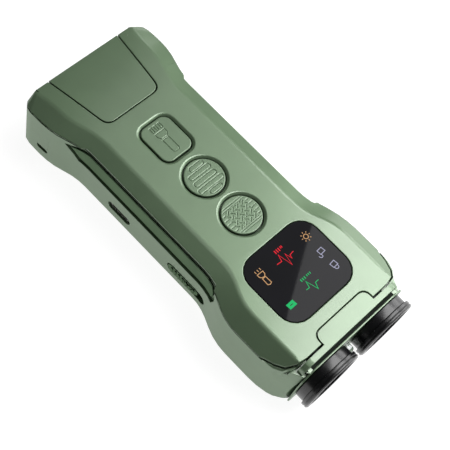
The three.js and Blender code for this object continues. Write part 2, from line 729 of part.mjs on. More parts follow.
// Display: smoked window on a gasket, over the lit module that stands on its own board.
function addDisplay() {
  const windowTop = HEIGHT - 0.05;
  const window = roundedPlate(DISPLAY_HALF, DISPLAY_X, windowTop - WINDOW_THICKNESS, windowTop);
  add('display_window', window, SMOKED_GLASS);
  const frame = roundedPlate(DISPLAY_HALF, DISPLAY_X, LEDGE_Z + 0.02, LEDGE_Z + 0.13, -0.3)
    .subtract(roundedPlate(DISPLAY_HALF, DISPLAY_X, LEDGE_Z - 1, LEDGE_Z + 1, -1.7));
  add('display_gasket', frame, RUBBER);
  const board = roundedPlate({ x: 12, y: 14.5, corner: 2 }, DISPLAY_X, 21.2, 22.4);
  const panel = roundedPlate(DISPLAY_HALF, DISPLAY_X, 22.3, LEDGE_Z - 0.1, -2.4);
  add('display_module', join([board, panel]), BLACK_PLASTIC);
}

// Power: one cylindrical cell behind the hatch, in a cradle with a bulkhead at its positive end.
function negativeSpring() {
  const turns = 3;
  const points = [];
  for (let i = 0; i <= turns * 10; i += 1) {
    const t = i / (turns * 10);
    const angle = t * turns * 2 * Math.PI;
    const radius = THREE.MathUtils.lerp(5, 2.6, t);
    points.push([-61.8 + 3.6 * t, radius * Math.cos(angle), CELL_Z + radius * Math.sin(angle)]);
  }
  const path = new THREE.CatmullRomCurve3(points.map((p) => new THREE.Vector3(...p)));
  const section = new THREE.Shape().absarc(0, 0, 0.35, 0, 2 * Math.PI);
  const options = { steps: turns * 12, curveSegments: 2, extrudePath: path, bevelEnabled: false };
  return solid(new THREE.ExtrudeGeometry(section, options));
}

function addPower() {
  const shoulderX = CELL_FRONT_X - 0.9;
  const cell = turned([
    [0, CELL_BACK_X], [CELL_RADIUS, CELL_BACK_X], [CELL_RADIUS, shoulderX], [2.75, shoulderX],
    [2.75, CELL_FRONT_X], [0, CELL_FRONT_X],
  ], 'x').translate([0, 0, CELL_Z]);
  add('battery_cell', cell, CELL_WRAP);
  const rails = block([-56, 10.2], [-12.2, 12.2], [2, 9]);
  const bulkhead = block([8.8, 10.2], [-12.2, 12.2], [2, 19.5]);
  const bed = rod('x', CELL_RADIUS + 0.25, -70, 8.8).translate([0, 0, CELL_Z]);
  add('battery_cradle', join([rails, bulkhead]).subtract(bed), BLACK_PLASTIC);
  add('positive_contact', block([7.85, 8.4], [-4, 4], [CELL_Z - 4, CELL_Z + 5]), NICKEL);
  const plateX = TAIL_X + WALL + 0.1;
  const plate = block([plateX, plateX + 0.4], [-6.5, 6.5], [CELL_Z - 6.5, CELL_Z + 6.5]);
  add('negative_plate', plate, NICKEL);
  add('negative_spring', negativeSpring(), NICKEL);
  add('main_board', block([-36, 17.5], [-13.5, 13.5], [BOARD_Z, BOARD_Z + BOARD_THICKNESS]), BOARD_GREEN);
  const positiveRoute = [[10.6, 3, 14], [12, 3, 14.1], [14, 3, 15.5], [15.5, 3, 18.2], [15.6, 3, 20.7]];
  const negativeRoute = [
    [-58, 11.3, 10], [-54, 11.3, 11], [-48, 11.3, 12.5], [-41, 11.3, 14.5],
    [-36, 11.4, 17], [-34, 11.4, 19.2], [-33.8, 11.4, 20.7],
  ];
  add('battery_lead_positive', tube(positiveRoute, 0.7), RED_LEAD);
  add('battery_lead_negative', tube(negativeRoute, 0.7), BLACK_LEAD);
}

// One lamp head about its own axis.
function lampBarrel() {
  return turned([
    [7.7, 47.5], [SLEEVE_RADIUS, 47.5], [SLEEVE_RADIUS, 59.3], [COLLAR_RADIUS, 59.3], [COLLAR_RADIUS, 62.4],
    [9.6, 62.4], [9.6, 60.6], [7.7, 60.6],
  ], 'x', FINE_SEGMENTS);
}

function lampBezel() {
  const edge = 0.5;
  const groove = BEZEL_RADIUS - 0.25;
  return turned([
    [9.4, 62.45], [BEZEL_RADIUS, 62.45], [BEZEL_RADIUS, 63.4], [groove, 63.5],
    [groove, 63.65], [BEZEL_RADIUS, 63.75], [BEZEL_RADIUS, BEZEL_FRONT_X - edge],
    [BEZEL_RADIUS - edge, BEZEL_FRONT_X], [9.3, BEZEL_FRONT_X], [8.9, 63.9], [8.9, 63.4], [9.4, 63.4],
  ], 'x', FINE_SEGMENTS);
}

function reflector() {
  const dish = [0, 1, 2, 3, 4].map((i) => {
    const t = i / 4;
    return [2.4 + 4.9 * Math.sqrt(t), 50.5 + 10.7 * t];
  });
  return turned([...dish, [8.3, 61.2], [8.3, 60.75], [7.6, 60.75], [7.4, 59], [3.2, 50.5]], 'x');
}

function addLamp(name, side) {
  const group = new THREE.Group();
  group.position.set(0, side * LAMP_Y, LAMP_Z);
  model.add(group);
  add(`${name}_barrel`, lampBarrel(), BLACK_GLOSS, group);
  add(`${name}_bezel_ring`, lampBezel(), BLACK_GLOSS, group);
  add(`${name}_lens`, rod('x', 9.2, 61.9, 63.3, FINE_SEGMENTS), CLEAR_GLASS, group);
  const seal = new THREE.TorusGeometry(8.98, 0.5, 6, 24).rotateY(Math.PI / 2).translate(61.25, 0, 0);
  add(`${name}_o_ring`, solid(seal), RUBBER, group);
  add(`${name}_reflector`, reflector(), MIRROR, group);
  add(`${name}_led_board`, rod('x', 7.4, 48.7, 49.9), ALUMINIUM, group);
  const dome = [0, 1, 2].map((i) => {
    const angle = i / 3 * Math.PI / 2;
    return [1.4 * Math.cos(angle), 50.7 + 1.4 * Math.sin(angle)];
  });
  const led = turned([[0, 50], [1.8, 50], [1.8, 50.7], ...dome, [0, 52.1]], 'x', 16);
  add(`${name}_led`, led, EMITTER, group);
  const lead = [
    [15.5, -3.7, 7.1], [15.6, -3.7, 6], [17.5, -3.4, 4.2], [25, -2, 1.6], [35, -0.4, 0.2], [44.2, 0, 0],
  ];
  add(`${name}_lead`, tube(lead.map(([x, y, z]) => [x, side * y, z]), 0.8), RED_LEAD, group);
}

function addLamps() {
  addLamp('left_lamp', 1);
  addLamp('right_lamp', -1);
  const plate = block([44.6, 47.2], [-20, 20], [5, 20.8]);
  const plugs = [-LAMP_Y, LAMP_Y].map((y) => rod('x', 7.3, 47, 48.6).translate([0, y, LAMP_Z]));
  add('heat_sink', join([plate, ...plugs]), ALUMINIUM);
  add('centre_led', rod('x', 1.5, 53, 56.2, 20).translate([0, 0, CENTRE_Z]), EMITTER);
  const lens = turned([[0, 56.5], [1.7, 56.5], [1.7, 61], [1.3, 61.6], [0.7, 61.9], [0, 62]], 'x', 20);
  add('centre_lens', lens.translate([0, 0, CENTRE_Z]), CLEAR_GLASS);
}

addHousing();
addButtons();
addSideControls();
addDisplay();
addPower();
addLamps();

export default model;
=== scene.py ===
"""The looks of a twin-lamp tactical flashlight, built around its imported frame.

Lengths are in metres. The frame is the part's own: +X from the tail to the lamps, +Z up from the
flat back.
"""
import json
import math

import bmesh
import bpy
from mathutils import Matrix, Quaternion, Vector


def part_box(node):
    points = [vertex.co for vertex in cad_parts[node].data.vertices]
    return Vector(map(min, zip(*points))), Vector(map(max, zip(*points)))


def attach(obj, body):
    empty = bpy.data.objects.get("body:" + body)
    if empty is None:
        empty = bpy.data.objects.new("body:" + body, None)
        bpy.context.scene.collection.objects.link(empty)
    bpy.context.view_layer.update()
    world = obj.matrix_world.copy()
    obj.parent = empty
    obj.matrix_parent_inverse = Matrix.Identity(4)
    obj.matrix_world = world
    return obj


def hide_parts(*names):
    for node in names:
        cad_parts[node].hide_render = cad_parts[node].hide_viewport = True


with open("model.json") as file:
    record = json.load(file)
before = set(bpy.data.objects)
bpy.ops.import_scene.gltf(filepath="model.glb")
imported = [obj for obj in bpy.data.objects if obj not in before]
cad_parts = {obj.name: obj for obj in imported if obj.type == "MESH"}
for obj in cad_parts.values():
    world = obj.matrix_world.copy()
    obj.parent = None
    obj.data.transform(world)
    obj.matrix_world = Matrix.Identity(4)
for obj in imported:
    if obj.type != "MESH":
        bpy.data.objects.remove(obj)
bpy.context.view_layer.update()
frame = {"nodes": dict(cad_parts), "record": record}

MM = 0.001

# Camera
CAMERA_TARGET = Vector((5.2, -0.4, 12)) * MM
CAMERA_DISTANCE = 356.6 * MM
CAMERA_AZIMUTH = 25.8
CAMERA_ELEVATION = 62.1
CAMERA_ROLL = 22.1
CAMERA_LENS_MM = 89.2

# Rounding of the dressed pieces' edges. A crease is where the level top turns down to the bevelled rim.
SHARP_EDGE = math.radians(28)
CREASE_ANGLES = (math.radians(12), math.radians(38))
CREASE_WIDTH = 0.9 * MM
LEVEL = 0.99
BEVEL_SEGMENTS = 3
SLIVER_AREA = 0.35 * MM * MM

# Cleaning of a node's mesh
MERGE_DISTANCE = 0.002 * MM
NO_LENGTH = 0.01 * MM
FLAT_ANGLE = math.radians(0.4)

# How far painted shade reaches from a corner, and wear from an edge
PAINTED_SHADE_REACH = 1.2 * MM
WEAR_REACH = 0.35 * MM
OPENNESS_SAMPLES = 6

# Round pieces
SPIN_STEPS = 128
FILLET_STEPS = 5
DOME_STEPS = 12
CORD_STEPS = 20
DISH_STEPS = 32
LED_LEDGE = 0.4 * MM
CENTRE_DOME_HEIGHT = 1.2 * MM

# Button caps
CAP_RINGS = 56
CAP_SIDES = 288
CAP_RIM = 0.35 * MM
CAP_FLANGE = 1 * MM
CAP_FLANGE_THICKNESS = 0.5 * MM
CAP_SKIRT_WALL = 0.9 * MM
CAP_HOLLOW_DEPTH = 0.9 * MM
SQUARE_CORNER = 4.05 * MM
RELIEF_DEPTH = 0.14 * MM

# Display symbols, on the window
SYMBOL_LINE = 0.24 * MM
SYMBOL_THICKNESS = 0.02 * MM
MITRE_LIMIT = 0.45
SYMBOL_GAP = 0.01 * MM
SYMBOL_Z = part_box("display_window")[1][2] + SYMBOL_GAP

# A dark strip of painted shade on the floor of the groove behind the lip of the nose: its middle and its
# size
NOSE_SHADE_STRIP_MIDDLE = Vector((58.05, 0, 23.02)) * MM
NOSE_SHADE_STRIP_SIZE = Vector((1.06, 37, 0.24)) * MM

# Floor
FLOOR_HALF = 3
FLOOR_DROP = 0.2 * MM
FLOOR_GLOW = 0.92


def add_camera():
    azimuth = math.radians(CAMERA_AZIMUTH)
    elevation = math.radians(CAMERA_ELEVATION)
    back = Vector((
        math.sin(azimuth) * math.cos(elevation),
        -math.cos(azimuth) * math.cos(elevation),
        math.sin(elevation),
    ))
    data = bpy.data.cameras.new("camera")
    data.lens = CAMERA_LENS_MM
    data.clip_start = 0.01
    camera = bpy.data.objects.new("camera", data)
    camera.location = CAMERA_TARGET + back * CAMERA_DISTANCE
    camera.rotation_mode = "QUATERNION"
    roll = Quaternion((0, 0, 1), math.radians(CAMERA_ROLL))
    camera.rotation_quaternion = back.to_track_quat("Z", "Y") @ roll
    bpy.context.scene.collection.objects.link(camera)
    bpy.context.scene.camera = camera


# ---------------------------------------------------------------- materials

class Shader:
    """A Principled material, with short ways to feed it from noise in the piece's own coordinates."""

    def __init__(self, name):
        self.material = bpy.data.materials.new(name)
        self.material.use_nodes = True
        self.tree = self.material.node_tree
        self.principled = self.tree.nodes["Principled BSDF"]
        self.coordinates = self.tree.nodes.new("ShaderNodeTexCoord").outputs["Object"]

    def set(self, **values):
        """Sets constants, each by its socket's name in lower case with underscores."""
        for name, value in values.items():
            socket = name.replace("_", " ").title().replace("Ior", "IOR")
            self.principled.inputs[socket].default_value = value

    def feed(self, socket, name):
        self.tree.links.new(socket, self.principled.inputs[name])

    def noise(self, scale, detail=3.0, stretch=(1, 1, 1)):
        mapping = self.tree.nodes.new("ShaderNodeMapping")
        mapping.inputs["Scale"].default_value = stretch
        texture = self.tree.nodes.new("ShaderNodeTexNoise")
        texture.inputs["Scale"].default_value = scale
        texture.inputs["Detail"].default_value = detail
        self.tree.links.new(self.coordinates, mapping.inputs["Vector"])
        self.tree.links.new(mapping.outputs["Vector"], texture.inputs["Vector"])
        return texture.outputs["Fac"]

    def ranged(self, value, low, high, from_low=0.3, from_high=0.7):
        node = self.tree.nodes.new("ShaderNodeMapRange")
        node.inputs["From Min"].default_value = from_low
        node.inputs["From Max"].default_value = from_high
        node.inputs["To Min"].default_value = low
        node.inputs["To Max"].default_value = high
        self.tree.links.new(value, node.inputs["Value"])
        return node.outputs["Result"]

    def mixed(self, factor, first, second):
        node = self.tree.nodes.new("ShaderNodeMix")
        node.data_type = "RGBA"
        self.tree.links.new(factor, node.inputs["Factor"])
        for socket, colour in ((node.inputs["A"], first), (node.inputs["B"], second)):
            if isinstance(colour, bpy.types.NodeSocket):
                self.tree.links.new(colour, socket)
            else:
                socket.default_value = (*colour, 1)
        return node.outputs["Result"]

    def product(self, first, second):
        node = self.tree.nodes.new("ShaderNodeMath")
        node.operation = "MULTIPLY"
        self.tree.links.new(first, node.inputs[0])
        self.tree.links.new(second, node.inputs[1])
        return node.outputs["Value"]

    def bump(self, height, distance, strength=1.0):
        node = self.tree.nodes.new("ShaderNodeBump")
        node.inputs["Strength"].default_value = strength
        node.inputs["Distance"].default_value = distance
        self.tree.links.new(height, node.inputs["Height"])
        self.feed(node.outputs["Normal"], "Normal")

    def openness(self, reach, inside):
        """How open the surface is within reach: 1 on flats.

        inside looks through the surface, at convex edges.
        """
        node = self.tree.nodes.new("ShaderNodeAmbientOcclusion")
        node.samples = OPENNESS_SAMPLES
        node.inside = inside
        node.only_local = inside
        node.inputs["Distance"].default_value = reach
        return node.outputs["AO"]

    def edges(self):
        """Half on convex edges, 0 elsewhere."""
        return self.ranged(self.openness(WEAR_REACH, True), 0.5, 0, 0.35, 0.8)

    def painted_gap_shade(self, most):
        """How much painted shade a spot gets: most deep in gaps and grooves, 0 on open surfaces."""
        return self.ranged(self.openness(PAINTED_SHADE_REACH, False), most, 0, 0.25, 0.8)


def surface(
    name, colour, drift, patch, roughness, grain, worn=None, stretch=(1, 1, 1), painted_shade=0.0, **constants
):
    """A solid finish: colour and roughness drift over patches, with a fine grain.

    drift is the share that the colour varies by, patch the scale of the patches, roughness its range, and
    grain the scale and depth in millimetres of the bump. worn is the colour of rubbed edges, and
    painted_shade how dark the shade painted into the gaps is.
    """
    shader = Shader(name)
    patches = shader.noise(patch, 4.0, stretch)
    deep = [c * (1 - drift) for c in colour]
    light = [min(1, c * (1 + drift)) for c in colour]
    shown = shader.mixed(shader.ranged(patches, 0, 1), deep, light)
    if worn:
        scuffs = shader.ranged(shader.noise(900, 5.0), 0, 1, 0.46, 0.62)
        shown = shader.mixed(shader.product(shader.edges(), scuffs), shown, worn)
    if painted_shade:
        # Painted shade: the base colour darkens towards a near-black of the same hue in gaps and grooves.
        shown = shader.mixed(shader.painted_gap_shade(painted_shade), shown, [c * 0.06 for c in colour])
    shader.feed(shown, "Base Color")
    shader.feed(shader.ranged(shader.noise(patch * 2.3, 5.0, stretch), *roughness), "Roughness")
    scale, depth = grain
    shader.bump(shader.noise(scale, 2.0, stretch), depth * MM)
    shader.set(**constants)
    return shader.material


GREEN = (0.168, 0.250, 0.150)
CAP_GREEN = (0.165, 0.240, 0.150)
WORN_GREEN = (0.36, 0.44, 0.33)
EDGE_TINT = (0.30, 0.42, 0.27, 1)


def lit(name, colour, strength):
    """A symbol that glows evenly, with a slight unevenness of the ink that it shines through."""
    shader = Shader(name)
    dark = [c * 0.05 for c in colour]
    shader.feed(shader.mixed(shader.noise(1200, 2.0), dark, [c * 0.1 for c in colour]), "Base Color")
    shader.set(roughness=0.4, specular_ior_level=0.1)
    shader.set(emission_color=(*colour, 1), emission_strength=strength)
    return shader.material


# The greens and the trim darken their gaps with painted shade.
MATERIALS = {
    "green_shell": surface(
        "green_shell", GREEN, 0.05, 60, (0.39, 0.45), (5200, 0.006), WORN_GREEN, painted_shade=0.6, metallic=0.45,
        specular_ior_level=0.2, specular_tint=EDGE_TINT,
        coat_weight=0.36, coat_ior=2.5, coat_roughness=0.2),
    "green_cap": surface(
        "green_cap", CAP_GREEN, 0.05, 90, (0.46, 0.54), (6000, 0.008), WORN_GREEN, painted_shade=0.6, metallic=0.5,
        specular_ior_level=0.2, specular_tint=EDGE_TINT,
        coat_weight=0.22, coat_ior=2.5, coat_roughness=0.24),
    "trim_green": surface(
        "trim_green", (0.12, 0.18, 0.11), 0.08, 80, (0.46, 0.54), (5200, 0.008), (0.17, 0.23, 0.16),
        painted_shade=0.3, metallic=0.6, specular_ior_level=0.2, specular_tint=EDGE_TINT),
    "gloss_black": surface(
        "gloss_black", (0.0045, 0.0045, 0.0055), 0.2, 120, (0.22, 0.3), (3800, 0.003), (0.03, 0.03, 0.033),
        specular_ior_level=0.7),
    "smoked_window": surface(
        "smoked_window", (0.010, 0.010, 0.012), 0.1, 50, (0.02, 0.035), (900, 0.0004),
        specular_ior_level=0.1),
    "display_light": surface(
        "display_light", (0.012, 0.012, 0.014), 0.1, 80, (0.3, 0.4), (4000, 0.004)),
    "clear_glass": surface(
        "clear_glass", (0.92, 0.95, 0.96), 0.01, 60, (0.01, 0.03), (600, 0.0006),
        transmission_weight=0.95, ior=1.5),
    "seal_rubber": surface(
        "seal_rubber", (0.008, 0.012, 0.008), 0.2, 200, (0.6, 0.75), (3000, 0.02),
        specular_ior_level=0.1),
    "black_plastic": surface(
        "black_plastic", (0.012, 0.012, 0.013), 0.15, 150, (0.42, 0.55), (2400, 0.02)),
    "screw_steel": surface(
        "screw_steel", (0.48, 0.48, 0.49), 0.08, 300, (0.22, 0.36), (2200, 0.006),
        stretch=(1, 6, 1), metallic=1.0),
    "nickel": surface(
        "nickel", (0.62, 0.61, 0.58), 0.05, 160, (0.16, 0.28), (2600, 0.004), metallic=1.0),
    "reflector_mirror": surface(
        "reflector_mirror", (0.86, 0.86, 0.87), 0.02, 160, (0.05, 0.10), (900, 0.006), metallic=1.0),
    "board_green": surface(
        "board_green", (0.012, 0.095, 0.032), 0.25, 420, (0.28, 0.42), (1500, 0.015)),
    "sink_aluminium": surface(
        "sink_aluminium", (0.40, 0.41, 0.42), 0.06, 260, (0.34, 0.46), (1800, 0.01),
        stretch=(8, 1, 1), metallic=1.0),
    "emitter": surface(
        "emitter", (0.80, 0.62, 0.12), 0.08, 900, (0.2, 0.3), (2600, 0.004)),
    "cell_wrap": surface(
        "cell_wrap", (0.024, 0.110, 0.262), 0.08, 90, (0.24, 0.34), (700, 0.02), coat_weight=0.3),
    "red_lead": surface(
        "red_lead", (0.35, 0.012, 0.010), 0.12, 500, (0.4, 0.5), (2600, 0.01)),
    "black_lead": surface(
        "black_lead", (0.010, 0.010, 0.010), 0.2, 500, (0.4, 0.5), (2600, 0.01)),
}
SLOT_OF = {entry["node"]: entry["material_slot"] for entry in frame["record"]["subparts"]}
BODY_OF = {node: body for body, nodes in frame["record"]["behaviour"]["bodies"].items() for node in nodes}

SYMBOL_AMBER = lit("symbol_amber", (0.78, 0.44, 0.20), 0.75)
SYMBOL_RED = lit("symbol_red", (0.92, 0.012, 0.03), 0.85)
SYMBOL_GREEN = lit("symbol_green", (0.008, 0.58, 0.16), 0.8)
SYMBOL_WHITE = lit("symbol_white", (0.50, 0.50, 0.68), 0.75)


# ---------------------------------------------------------------- pieces

def piece_from(mesh, name, body, slot, material=None):
    """Links a finished bmesh as a piece that rides on a body, with its slot's material."""
    data = bpy.data.meshes.new(name)
    bmesh.ops.recalc_face_normals(mesh, faces=mesh.faces)
    mesh.to_mesh(data)
    mesh.free()
    data.shade_smooth()
    data.set_sharp_from_angle(angle=SHARP_EDGE)
    data.materials.append(material or MATERIALS[slot])
    piece = bpy.data.objects.new(name, data)
    bpy.context.scene.collection.objects.link(piece)
    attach(piece, body)
    return piece


def stand_in(mesh, node):
    """Links a finished bmesh in the place of a node."""
    piece = piece_from(mesh, node + "_dressed", BODY_OF[node], SLOT_OF[node])
    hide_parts(node)
    return piece


def weigh_edges(mesh, width):
    """Gives each edge its share of the crease width.

    A crease has all of it, and a sharp edge as much as width. An edge beside a sliver has none.
    """
    weights = mesh.edges.layers.float.new("bevel_weight_edge")
    for edge in mesh.edges:
        angle = edge.calc_face_angle(0)
        if min(face.calc_area() for face in edge.link_faces) < SLIVER_AREA:
            continue
        level = max(face.normal.z for face in edge.link_faces) > LEVEL
        if level and CREASE_ANGLES[0] < angle < CREASE_ANGLES[1]:
            edge[weights] = 1
        elif angle > SHARP_EDGE:
            edge[weights] = width / CREASE_WIDTH


def soften(piece):
    """Rounds the weighted edges and keeps the flats flat."""
    bevel = piece.modifiers.new("rounding", "BEVEL")
    bevel.width = CREASE_WIDTH
    bevel.segments = BEVEL_SEGMENTS
    bevel.limit_method = "WEIGHT"
    bevel.use_clamp_overlap = False
    bevel.miter_outer = "MITER_ARC"
    piece.modifiers.new("flats", "WEIGHTED_NORMAL").weight = 80


def cleaned(node):
    """A node's mesh with shared corners merged and flat areas made whole."""
    mesh = bmesh.new()
    mesh.from_mesh(frame["nodes"][node].data)
    bmesh.ops.remove_doubles(mesh, verts=mesh.verts, dist=MERGE_DISTANCE)
    bmesh.ops.dissolve_limit(mesh, angle_limit=FLAT_ANGLE, verts=mesh.verts, edges=mesh.edges)
    bmesh.ops.dissolve_degenerate(mesh, edges=mesh.edges, dist=NO_LENGTH)
    return mesh


def dress(node, width=0.0):
    """A clean stand-in for a node, its sharp edges rounded by width."""
    mesh = cleaned(node)
    mesh.normal_update()
    if width:
        weigh_edges(mesh, width)
    piece = stand_in(mesh, node)
    if width:
        piece.data.shade_smooth()
        soften(piece)


ROUNDINGS = {
    "upper_shell": 0.3 * MM,
    "lower_shell": 0.14 * MM,
    "front_bezel": 0.07 * MM,
    "rear_hatch": 0.15 * MM,
    "side_trim_left": 0.15 * MM,
    "side_trim_right": 0.15 * MM,
    "switch_knob": 0.15 * MM,
    "display_window": 0.08 * MM,
    "charge_socket": 0.08 * MM,
    "charge_socket_tongue": 0.08 * MM,
    "battery_cradle": 0.2 * MM,
}


# ---------------------------------------------------------------- stacked rings

def skin(mesh, rings, closed):
    """Joins rings of vertices with quads. A ring of one vertex is a pole.

    closed joins the last ring to the first.
    """
    pairs = list(zip(rings, rings[1:])) + ([(rings[-1], rings[0])] if closed else [])
    for low, high in pairs:
        count = max(len(low), len(high))
        for i in range(count):
            j = (i + 1) % count
            if len(low) == 1:
                mesh.faces.new((low[0], high[j], high[i]))
            elif len(high) == 1:
                mesh.faces.new((low[i], low[j], high[0]))
            else:
                mesh.faces.new((low[i], low[j], high[j], high[i]))


def filleted(corners, radius, closed):
    """A profile with each corner rounded by up to radius, and a pole on the axis left as it is."""
    points = []
    for i, corner in enumerate(corners):
        ends = not closed and i in (0, len(corners) - 1)
        if ends or corner[0] == 0:
            points.append(Vector(corner))
            continue
        here = Vector(corner)
        before = Vector(corners[i - 1]) - here
        after = Vector(corners[(i + 1) % len(corners)]) - here
        reach = min(radius, before.length * 0.45, after.length * 0.45)
        start, end = here + before.normalized() * reach, here + after.normalized() * reach
        for step in range(FILLET_STEPS + 1):
            t = step / FILLET_STEPS
            points.append(start * (1 - t) ** 2 + here * (2 * t * (1 - t)) + end * t ** 2)
    return points


def lathe(profile, axis_y, axis_z):
    """A solid of revolution about an axis along X, from (radius, x) points in metres."""
    closed = profile[0][0] != 0
    mesh = bmesh.new()
    rings = []
    for radius, x in profile:
        if radius == 0:
            rings.append([mesh.verts.new((x, axis_y, axis_z))])
            continue
        turns = [2 * math.pi * i / SPIN_STEPS for i in range(SPIN_STEPS)]
        rings.append([
            mesh.verts.new((x, axis_y + radius * math.cos(a), axis_z + radius * math.sin(a))) for a in turns
        ])
    skin(mesh, rings, closed)
    return mesh


# ---------------------------------------------------------------- lamps

def between(low, high, *parts):
    """The places at the given parts of the way from low to high."""
    return [low + (high - low) * part for part in parts]


def turned(node, profile):
    """A turned stand-in for a node, about the axis through the middle of its box."""
    low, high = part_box(node)
    stand_in(lathe(profile, (low[1] + high[1]) / 2, (low[2] + high[2]) / 2), node)


def round_piece(node, corners, fillet):
    """A turned stand-in with its corners rounded by up to fillet."""
    turned(node, filleted(corners, fillet, corners[0][0] != 0))


def outer_radius(node):
    low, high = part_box(node)
    return (high[2] - low[2]) / 2


def lamp_barrel(node):
    """A sleeve with a collar at its mouth, which is stepped inside for the bezel."""
    low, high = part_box(node)
    back, front = low[0], high[0]
    collar = outer_radius(node)
    sleeve = collar - 1.55 * MM
    bore = sleeve - 1.2 * MM
    step = front - 3.1 * MM
    round_piece(node, [
        (bore, back), (sleeve, back), (sleeve, step), (collar, step), (collar, front),
        (collar - 0.85 * MM, front), (collar - 0.85 * MM, front - 1.8 * MM), (bore, front - 1.8 * MM),
    ], 0.25 * MM)


def lamp_bezel(node):
    """A flat ring with a groove round it and a lip over the lens."""
    low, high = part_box(node)
    back, front = low[0], high[0]
    rim = outer_radius(node)
    groove = between(back, front, 0.42, 0.47, 0.53, 0.58)
    round_piece(node, [
        (rim - 1.85 * MM, back), (rim, back), (rim, groove[0]), (rim - 0.2 * MM, groove[1]),
        (rim - 0.2 * MM, groove[2]), (rim, groove[3]), (rim, front - 0.45 * MM),
        (rim - 0.5 * MM, front), (rim - 1.9 * MM, front), (rim - 2.35 * MM, front - 0.8 * MM),
        (rim - 2.35 * MM, front - 1.3 * MM), (rim - 1.85 * MM, front - 1.3 * MM),
    ], 0.12 * MM)


def lamp_lens(node):
    low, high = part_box(node)
    radius = outer_radius(node)
    round_piece(node, [(0, low[0]), (radius, low[0]), (radius, high[0]), (0, high[0])], 0.2 * MM)


def lamp_o_ring(node):
    low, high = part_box(node)
    radius = outer_radius(node)
    cord = (high[0] - low[0]) / 2
    middle = (low[0] + high[0]) / 2
    turns = [2 * math.pi * i / CORD_STEPS for i in range(CORD_STEPS)]
    turned(node, [(radius - cord + cord * math.cos(a), middle + cord * math.sin(a)) for a in turns])


def lamp_reflector(node):
    """A parabolic dish with a flange at its mouth."""
    low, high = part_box(node)
    back, mouth = low[0], high[0]
    throat = 2.4 * MM
    flare = 4.9 * MM
    wall = 0.35 * MM
    parts = [i / DISH_STEPS for i in range(DISH_STEPS + 1)]
    inside = [(throat + flare * math.sqrt(part), back + (mouth - back) * part) for part in parts]
    rim = outer_radius(node)
    outside = [(radius + wall, x) for radius, x in inside if x < mouth - 0.5 * MM]
    turned(node, inside + [(rim, mouth), (rim, mouth - 0.45 * MM)] + outside[::-1])


def dome(radius, height, shoulder):
    """The profile of a dome from its shoulder to the pole."""
    turns = [math.pi / 2 * i / DOME_STEPS for i in range(DOME_STEPS)]
    side = [(radius * math.cos(a), shoulder + height * math.sin(a)) for a in turns]
    return side + [(0, shoulder + height)]


def lamp_led(node):
    low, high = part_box(node)
    base = outer_radius(node)
    radius = base - LED_LEDGE
    shoulder = high[0] - radius
    turned(node, [(0, low[0]), (base, low[0]), (base, shoulder)] + dome(radius, radius, shoulder))


def centre_lens(node):
    low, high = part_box(node)
    radius = outer_radius(node)
    shoulder = high[0] - CENTRE_DOME_HEIGHT
    turned(node, [(0, low[0]), (radius, low[0])] + dome(radius, CENTRE_DOME_HEIGHT, shoulder))


LATHED = {"centre_lens": centre_lens}
for side in ("left_lamp", "right_lamp"):
    LATHED.update({
        side + "_barrel": lamp_barrel,
        side + "_bezel_ring": lamp_bezel,
        side + "_lens": lamp_lens,
        side + "_o_ring": lamp_o_ring,
        side + "_reflector": lamp_reflector,
        side + "_led": lamp_led,
    })


# ---------------------------------------------------------------- button caps

CAPS = ("torch_button_cap", "stripe_button_cap", "weave_button_cap")


def eased(distance, edge):
    """1 at a line, falling smoothly to 0 at the given distance from it."""
    t = max(0.0, 1 - abs(distance) / edge)
    return t * t * (3 - 2 * t)


def to_segment(x, y, a, b):
    """The distance of (x, y) from the segment a-b."""
    dx, dy = b[0] - a[0], b[1] - a[1]
    along = ((x - a[0]) * dx + (y - a[1]) * dy) / (dx * dx + dy * dy)
    along = min(1.0, max(0.0, along))
    return math.hypot(x - a[0] - along * dx, y - a[1] - along * dy)


def loop(points):
    return list(zip(points, points[1:] + points[:1]))


def rectangle(x0, x1, y0, y1):
    return loop([(x0, y0), (x1, y0), (x1, y1), (x0, y1)])


# The torch mark on the square cap, as grooves in millimetres from the cap's centre: rays, head and handle.
TORCH_MARK = [
    *[line for y in (-1.6, 0.1, 1.8) for line in rectangle(-5.9, -4.0, y - 0.4, y + 0.4)],
    *loop([(-3.2, -1.9), (-3.2, 2.1), (-1.9, 2.1), (-0.7, 1.3), (-0.7, -1.1), (-1.9, -1.9)]),
    *loop([(-0.2, -1.3), (4.6, -1.3), (5.2, -0.8), (5.2, 0.7), (4.6, 1.2), (-0.2, 1.2)]),
]


def torch_relief(x, y):
    return -min(1.0, max(eased(to_segment(x, y, a, b), 0.22) for a, b in TORCH_MARK))


def bar_distance(x, y, centre, low, high, half):
    """The distance of (x, y) from the outline of an upright bar with round ends, below 0 inside."""
    reach = max(low + half, min(high - half, y))
    return math.hypot(x - centre, y - reach) - half


# Bars outlined on the striped cap: centre x, and the ends in y.
STRIPES = [(-4.6, -2.2, 3.4), (-2.35, -4.4, 4.4), (0.3, -4.6, 4.4), (2.9, -5.2, 5.2), (5.1, -2.4, 2.6)]


def stripe_relief(x, y):
    near = min(bar_distance(x, y, *stripe, 0.85) for stripe in STRIPES)
    return -eased(near, 0.24)


